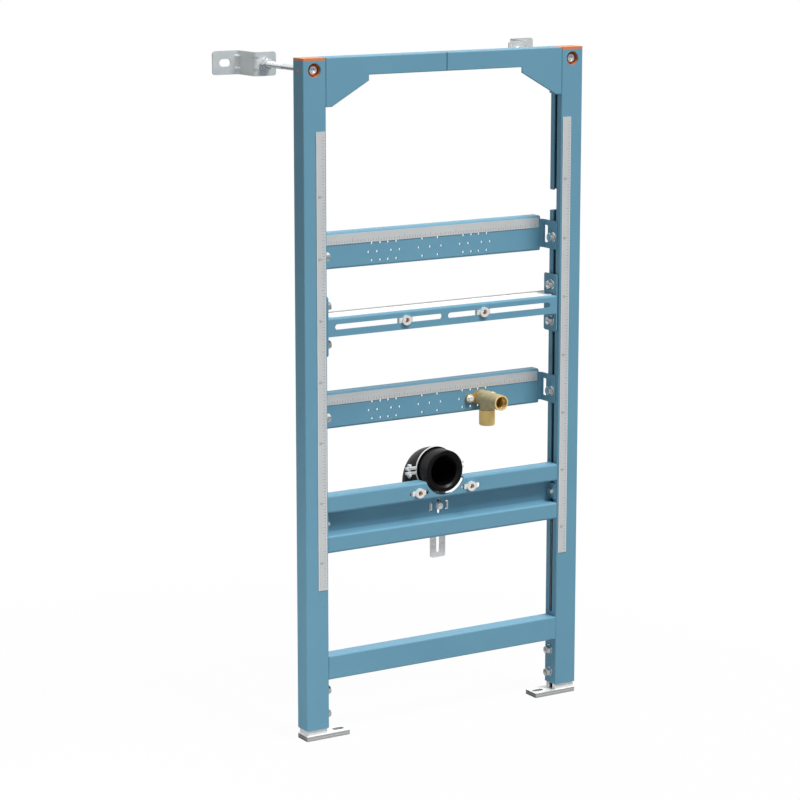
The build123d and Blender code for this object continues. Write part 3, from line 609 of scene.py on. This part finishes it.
# Waste
# A black polyethylene elbow with a moulded rubber inlet seal. A zinc-plated clamp lined with rubber holds
# it on a slotted support strip, and a screw and nut through each pair of ears draw its two halves together.
clamp_low, clamp_high = corners("pipe_clamp")
ear_top = 6
ear_reach = 7
ear_screw_flats = 7
ear_nut_height = 4
ear_shank_radius = 2
band_width = 3.4
band_margin = 0.4
down = (0, 0, -1)
waste_height = mounts["waste_inlet"]["pos_m"][2] / MM
clamp_y = (clamp_low[1] + clamp_high[1]) / 2
# Moulded EPDM rubber: deep black and slightly dusty, with a soft highlight.
rubber = grained_finish(
    "black_epdm_rubber", ("#050505", "#0A0A0A"), {"IOR": 1.5, "Specular IOR Level": 0.15},
    drift_size=9, roughness=(0.3, 0.38), grain_size=0.6, grain_depth=0.03,
)
# Moulded polyethylene: black and waxy, with a slightly wider highlight than the rubber's.
polyethylene = grained_finish(
    "black_polyethylene", ("#050505", "#0A0A0A"), {"IOR": 1.51, "Specular IOR Level": 0.15},
    drift_size=20, roughness=(0.3, 0.4), grain_size=1.2, grain_depth=0.03,
)
dress(rubber, "drain_seal")
dress(polyethylene, "drain_elbow")
dress(screw_zinc, "pipe_support")


def lined_clamp():
    """White zinc plating on the clamp. The rubber lining is folded over both edges of the ring, up to its
    outer radius, so that only a narrow band of the ring and the ears are bare."""
    material, place = start_finish("lined_pipe_clamp")
    ring_radius = clamp_high[2] - waste_height
    centre = np.array([frame_middle, 0, waste_height]) * MM
    across = add_node(material, "ShaderNodeVectorMath", {"operation": "SUBTRACT"}, {1: centre}, {0: place})
    across = add_node(
        material, "ShaderNodeVectorMath", {"operation": "MULTIPLY"},
        {1: (1, 0, 1)}, {0: across.outputs["Vector"]},
    )
    radius = add_node(
        material, "ShaderNodeVectorMath", {"operation": "LENGTH"}, None, {0: across.outputs["Vector"]}
    )
    ear = add_node(
        material, "ShaderNodeMath", {"operation": "GREATER_THAN"},
        {1: (ring_radius + band_margin) * MM}, {0: radius.outputs["Value"]},
    )
    axes = add_node(material, "ShaderNodeSeparateXYZ", None, None, {"Vector": place})
    band = add_node(
        material, "ShaderNodeMath", {"operation": "COMPARE"},
        {1: clamp_y * MM, 2: band_width / 2 * MM}, {0: axes.outputs["Y"]},
    )
    bare = add_node(
        material, "ShaderNodeMath", {"operation": "MAXIMUM"}, None,
        {0: ear.outputs["Value"], 1: band.outputs["Value"]},
    )
    tint = add_node(
        material, "ShaderNodeMixRGB", None,
        {"Color1": linear("#080808"), "Color2": linear("#F0F2F2")}, {"Fac": bare.outputs["Value"]},
    )
    return end_finish(material, {"Metallic": 0.3, "Roughness": 0.28}, {"Base Color": tint.outputs["Color"]})


dress(lined_clamp(), "pipe_clamp")
ear_places = (clamp_low[0] + ear_reach, clamp_high[0] - ear_reach)
ear_tops = [(x, clamp_y, waste_height + ear_top) for x in ear_places]
ear_bottoms = [(x, clamp_y, waste_height - ear_top) for x in ear_places]
ear_screws = hex_bolts(
    ear_tops, up, rightward, flats=ear_screw_flats, head=4, washer=8.5, washer_thickness=0.8
)
ear_screws += hex_nuts(ear_bottoms, down, rightward, ear_screw_flats, ear_nut_height)
shank_length = 2 * ear_top + ear_nut_height + shank_end
shank = turned([(ear_shank_radius, -shank_length, 0), (ear_shank_radius, 0, 0)])
ear_screws += [stand(shank, seat, up, rightward) for seat in ear_tops]
make_piece("clamp_ear_screws", ear_screws, screw_zinc)

# Water elbow
# A brass elbow, sand cast and left rough, whose two mouths are turned and tapped. Two small hex screws
# with washers hold its flange on the lower fitting rail.
pipe_thread_pitch = 1.81
pipe_thread_depth = 0.7
mouth_depth = 4
mouth_rim = 1.2
flange_thickness = 4
ear_spacing = 46
barrel_length = 26
elbow_low = corners("water_elbow")[0]
elbow_x, _, elbow_height = np.array(mounts["water_outlet"]["pos_m"]) / MM
rail_front = corners("lower_rail_scale")[1][1]
flange_front = rail_front - flange_thickness


def cast_brass():
    """Sand-cast brass: a dull greenish grey gold, pitted by the sand. The flange is darker and browner,
    which is painted shade. Below the barrel's shoulder and at the front mouth it is turned, so there it is
    smoother, cleaner and lighter; on the barrel that light tint is also painted light, against the shade of
    the body above it."""
    stain_size = 7
    sand_size = 1.0
    sand_depth = 0.12
    material, place = start_finish("cast_and_turned_brass")
    stain = add_node(
        material, "ShaderNodeTexNoise", None,
        {"Scale": 1 / (stain_size * MM), "Detail": 4}, {"Vector": place},
    )
    cast = add_node(
        material, "ShaderNodeMixRGB", None,
        {"Color1": linear("#A3966F"), "Color2": linear("#C8BA90")}, {"Fac": stain.outputs["Fac"]},
    )
    axes = add_node(material, "ShaderNodeSeparateXYZ", None, None, {"Vector": place})
    barrel = add_node(
        material, "ShaderNodeMath", {"operation": "LESS_THAN"},
        {1: (elbow_low[2] + barrel_length) * MM}, {0: axes.outputs["Z"]},
    )
    mouth = add_node(
        material, "ShaderNodeMath", {"operation": "LESS_THAN"},
        {1: (elbow_low[1] + mouth_rim) * MM}, {0: axes.outputs["Y"]},
    )
    turned_and_lightened = add_node(
        material, "ShaderNodeMath", {"operation": "MAXIMUM"}, None,
        {0: barrel.outputs["Value"], 1: mouth.outputs["Value"]},
    )
    # The flange is painted darker and browner: painted shade.
    flange = add_node(
        material, "ShaderNodeMath", {"operation": "GREATER_THAN"},
        {1: (flange_front - edge_margin) * MM}, {0: axes.outputs["Y"]},
    )
    tint = add_node(
        material, "ShaderNodeMixRGB", None, {"Color2": linear("#B98F4E")},
        {"Fac": flange.outputs["Value"], "Color1": cast.outputs["Color"]},
    )
    # Turned brass is lighter. On the barrel the light tint is partly painted light, against the shade of
    # the body above.
    tint = add_node(
        material, "ShaderNodeMixRGB", None, {"Color2": linear("#FFDC8C")},
        {"Fac": turned_and_lightened.outputs["Value"], "Color1": tint.outputs["Color"]},
    )
    sand = add_node(
        material, "ShaderNodeTexNoise", None,
        {"Scale": 1 / (sand_size * MM), "Detail": 3}, {"Vector": place},
    )
    rough = add_node(
        material, "ShaderNodeMapRange", None,
        {"To Min": 0.55, "To Max": 0.3}, {"Value": turned_and_lightened.outputs["Value"]},
    )
    pits = add_node(
        material, "ShaderNodeMapRange", None,
        {"To Min": 0.6, "To Max": 0.05}, {"Value": turned_and_lightened.outputs["Value"]},
    )
    relief = add_node(
        material, "ShaderNodeBump", None, {"Distance": sand_depth * MM},
        {"Strength": pits.outputs["Result"], "Height": sand.outputs["Fac"]},
    )
    links = {
        "Base Color": tint.outputs["Color"],
        "Roughness": rough.outputs["Result"],
        "Normal": relief.outputs["Normal"],
    }
    return end_finish(material, {"Metallic": 0.22}, links)


dress(cast_brass(), "water_elbow")
seats = [(elbow_x + step * ear_spacing / 2, flange_front, elbow_height) for step in (-1, 1)]
flange_screws = hex_bolts(seats, forward, up, flats=8, head=3.5, washer=13.5, washer_thickness=1.2)
make_piece("flange_screws", flange_screws, screw_zinc)
pipe_bore = mounts["water_outlet"]["dims"]["r_mm"]
barrel_y = mounts["water_supply"]["pos_m"][1] / MM
thread_length = mounts["water_outlet"]["dims"]["length_mm"] - mouth_depth
pipe_thread = thread_lining(pipe_bore, thread_length, pipe_thread_pitch, pipe_thread_depth)
outlet_seat = (elbow_x, elbow_low[1] + mouth_depth + mouth_chamfer, elbow_height)
supply_seat = (elbow_x, barrel_y, elbow_low[2] + mouth_chamfer)
pipe_threads = [
    stand(pipe_thread, outlet_seat, backward, rightward),
    stand(pipe_thread, supply_seat, up, rightward),
]
# Tapped brass: cleaner and yellower than the casting, with a bright shine on its flanks.
tapped_brass = grained_finish(
    "tapped_brass", ("#C9A45E", "#DDBC79"), {"Metallic": 1.0},
    drift_size=4, roughness=(0.22, 0.36), grain_size=0.5, grain_depth=0.02,
)
make_piece("elbow_pipe_threads", pipe_threads, tapped_brass)

# Bottom rail
# A box section of steel between the posts, coated like them. It keeps them at their distance near the
# floor.
dress(powder_blue, "bottom_rail")

# Wall fixing
# Zinc-plated steel screws with a socket head run back from the post caps. Their rear ends are threaded, and
# two nuts clamp a Z-bent bracket on each, which is bolted to the wall.
dress(zinc, "left_wall_bracket", "right_wall_bracket")
rod_radius = 5
rod_head_radius = 7
rod_head_length = 6
rod_head_round = 0.7
socket_flat = 3
socket_depth = 4
socket_lip = 0.8
socket_lip_depth = 0.5
rod_thread_length = 75
rod_thread_pitch = 1.5
rod_thread_depth = 0.9
bracket_sheet = 3
wall_nut_flats = 17
wall_nut_height = 8
wall_washer = 20
wall_washer_thickness = 2
head_rows = [
    (rod_head_radius - edge_break, 0, 0),
    (rod_head_radius, edge_break, 0),
    (rod_head_radius, rod_head_length - rod_head_round, 0),
    (rod_head_radius - rod_head_round, rod_head_length, 0),
    (socket_flat + socket_lip, rod_head_length, 0),
    (socket_flat, rod_head_length - socket_lip_depth, 1),
    (socket_flat, rod_head_length - socket_depth, 1),
]
washer_rows = [
    (wall_washer / 2, 0, 0),
    (wall_washer / 2, wall_washer_thickness - edge_break, 0),
    (wall_washer / 2 - edge_break, wall_washer_thickness, 0),
]
rod_z = mounts["wall_bolts"]["pos_m"][2] / MM
shank_radius = rod_radius - rod_thread_depth / 2
thread = screw_thread(rod_radius, rod_thread_length, rod_thread_pitch, rod_thread_depth)
for hand in post_faces:
    rod_low, rod_high = corners(f"{hand}_wall_rod")
    rod_x = (rod_low[0] + rod_high[0]) / 2
    bracket_y = corners(f"{hand}_wall_bracket")[0][1]
    head_back = (rod_x, rod_low[1] + rod_head_length, rod_z)
    thread_start = (rod_x, rod_high[1] - rod_thread_length, rod_z)
    shank = turned([(shank_radius, 0, 0), (shank_radius, thread_start[1] - head_back[1], 0)])
    front_nut = (rod_x, bracket_y - wall_washer_thickness, rod_z)
    rear_nut = (rod_x, bracket_y + bracket_sheet, rod_z)
    wall_screw = [
        stand(turned(head_rows), head_back, forward, rightward),
        stand(shank, head_back, backward, rightward),
        stand(thread, thread_start, backward, rightward),
        stand(turned(washer_rows), (rod_x, bracket_y, rod_z), forward, rightward),
        *hex_nuts([front_nut], forward, rightward, wall_nut_flats, wall_nut_height),
        *hex_nuts([rear_nut], backward, rightward, wall_nut_flats, wall_nut_height),
    ]
    piece = make_piece(f"{hand}_wall_screw", wall_screw, bolt_zinc)
    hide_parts(f"{hand}_wall_rod")

# Floor
# A pale studio floor under the feet. It fades into the white background and keeps the frame's shadow.
floor_radius = 2200
floor_clearance = 0.3
floor_points = 96
fade_start = 900
fade_end = 2000
near_lift = 0.95
far_lift = 1.0
white_strength = 1.02


def studio_floor():
    """Matt grey paint for light that falls on the frame. The camera sees it lifted towards white, more so
    with the distance from the middle, so that it has no edge."""
    material, place = start_finish("studio_floor")
    path = add_node(material, "ShaderNodeLightPath")
    distance = add_node(material, "ShaderNodeVectorMath", {"operation": "LENGTH"}, None, {0: place})
    fade = add_node(
        material, "ShaderNodeMapRange", None,
        {"From Min": fade_start * MM, "From Max": fade_end * MM, "To Min": near_lift, "To Max": far_lift},
        {"Value": distance.outputs["Value"]},
    )
    lift = add_node(
        material, "ShaderNodeMath", {"operation": "MULTIPLY"}, None,
        {0: path.outputs["Is Camera Ray"], 1: fade.outputs["Result"]},
    )
    paint = add_node(material, "ShaderNodeBsdfDiffuse", None, {"Color": linear("#A3A3A2")})
    white = add_node(
        material, "ShaderNodeEmission", None, {"Color": linear("#FFFFFF"), "Strength": white_strength}
    )
    blend = add_node(
        material, "ShaderNodeMixShader", None, None,
        {0: lift.outputs["Value"], 1: paint.outputs["BSDF"], 2: white.outputs["Emission"]},
    )
    add_node(material, "ShaderNodeOutputMaterial", None, None, {"Surface": blend.outputs["Shader"]})
    return material


disc_angle = np.linspace(0, 2 * np.pi, floor_points, endpoint=False)
disc = np.stack(
    [
        frame_middle + floor_radius * np.cos(disc_angle),
        floor_radius * np.sin(disc_angle),
        np.full_like(disc_angle, -floor_clearance),
    ],
    axis=1,
)
floor_mesh = bpy.data.meshes.new("floor")
floor_mesh.from_pydata((disc * MM).tolist(), [], [list(range(len(disc)))])
floor_mesh.materials.append(studio_floor())
floor = bpy.data.objects.new("floor", floor_mesh)
bpy.context.scene.collection.objects.link(floor)

# Light
# A large soft lamp high up in front, a small weak one near the floor on the left, for the light that a
# white floor throws up, and one behind for the back. The camera sees the pale surround as plain white, and
# reflections see it dark below and bright above, like a studio with a lit ceiling.
surround_strength = 0.3
ceiling_strength = 1.1
skirting_strength = 0.15
seen_strength = 1.0
horizon_blend = 0.25
frame_centre = (frame_middle, 0, 560)
lamps = {
    "key_lamp": {"power": 2180, "size": 5300, "place": (2968, -6120, 12392), "target": frame_centre},
    "floor_bounce": {"power": 2.8, "size": 300, "place": (-600, -200, 20), "target": (0, 0, 150)},
    "rear_fill": {"power": 150, "size": 3000, "place": (2600, 5200, 2600), "target": frame_centre},
}


def look_at(place, target):
    """Turn that points an object's -Z at a target, with its Y kept up."""
    direction = np.array(target, float) - np.array(place, float)
    flat = np.hypot(direction[0], direction[1])
    return (np.pi / 2 + np.arctan2(direction[2], flat), 0, np.arctan2(-direction[0], direction[1]))


for name, setting in lamps.items():
    light = bpy.data.lights.new(name, "AREA")
    light.energy = setting["power"]
    light.size = setting["size"] * MM
    lamp = bpy.data.objects.new(name, light)
    lamp.location = np.array(setting["place"]) * MM
    lamp.rotation_euler = look_at(setting["place"], setting["target"])
    lamp.visible_camera = False
    lamp.visible_glossy = name == "key_lamp"
    bpy.context.scene.collection.objects.link(lamp)

world = bpy.data.worlds.new("studio")
world.use_nodes = True
world.node_tree.nodes.clear()
path = add_node(world, "ShaderNodeLightPath")
direction = add_node(world, "ShaderNodeTexCoord")
axes = add_node(world, "ShaderNodeSeparateXYZ", None, None, {"Vector": direction.outputs["Generated"]})
mirrored = add_node(
    world, "ShaderNodeMapRange", None,
    {
        "From Min": -horizon_blend, "From Max": horizon_blend,
        "To Min": skirting_strength, "To Max": ceiling_strength,
    },
    {"Value": axes.outputs["Z"]},
)
strength = add_node(
    world, "ShaderNodeMapRange", None, {"To Min": surround_strength},
    {"Value": path.outputs["Is Glossy Ray"], "To Max": mirrored.outputs["Result"]},
)
seen = add_node(
    world, "ShaderNodeMath", {"operation": "MAXIMUM"}, None,
    {0: path.outputs["Is Camera Ray"], 1: path.outputs["Is Transmission Ray"]},
)
strength = add_node(
    world, "ShaderNodeMapRange", None, {"To Max": seen_strength},
    {"Value": seen.outputs["Value"], "To Min": strength.outputs["Result"]},
)
background = add_node(
    world, "ShaderNodeBackground", None,
    {"Color": linear("#FFFFFF")}, {"Strength": strength.outputs["Result"]},
)
add_node(world, "ShaderNodeOutputWorld", None, None, {"Surface": background.outputs["Background"]})
bpy.context.scene.world = world
bpy.context.scene.view_settings.view_transform = "Standard"

# Camera
# It stands to the left in front of the frame, a little above its top, and looks slightly down.
camera_place = (-2173.4, -3780.9, 1443.3)
camera_yaw = 31.77
camera_pitch = -11.33
camera_lens = 123.88
film_width = 36
camera_data = bpy.data.cameras.new("camera")
camera_data.lens = camera_lens
camera_data.sensor_width = film_width
camera = bpy.data.objects.new("camera", camera_data)
camera.location = np.array(camera_place) * MM
camera.rotation_euler = (np.radians(90 + camera_pitch), 0, np.radians(-camera_yaw))
bpy.context.scene.collection.objects.link(camera)
bpy.context.scene.camera = camera
